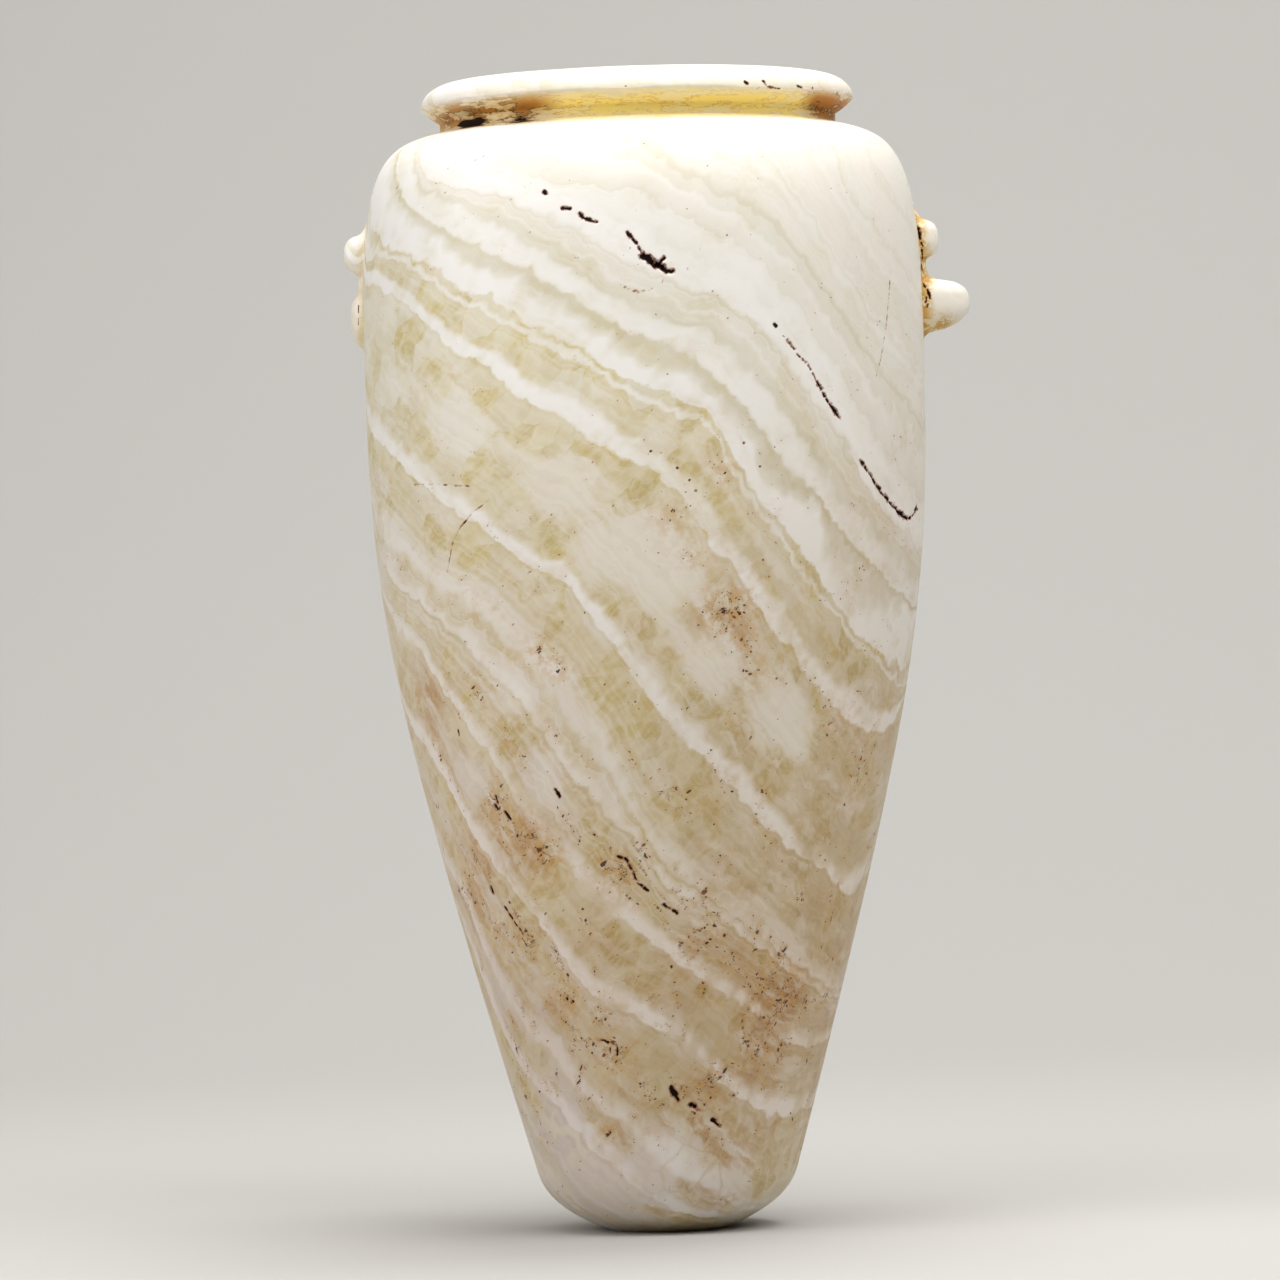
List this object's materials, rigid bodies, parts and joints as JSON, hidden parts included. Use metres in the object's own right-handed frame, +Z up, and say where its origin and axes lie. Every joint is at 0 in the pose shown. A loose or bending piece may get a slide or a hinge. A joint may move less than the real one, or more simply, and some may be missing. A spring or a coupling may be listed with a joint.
{
  "type": "lug-handled vessel",
  "caption": "Tall hollow jar of banded stone with a round shoulder, overhanging lip, small flat foot and two-knobbed lug handles, one of them broken.",
  "frame": {"origin": "centre of the flat underside, on the vessel's axis", "axes": "+Z up the axis of turning, +X towards the whole lug handle and -X towards the broken one, -Y the side that the picture shows"},
  "size_m": [0.1745, 0.1564, 0.32],
  "materials": {
    "banded_alabaster": "soft hand polish, banded white and pale honey stone, worn, pitted and stained"
  },
  "bodies": {
    "root": {"vessel": "banded_alabaster"}
  },
  "joints": []
}
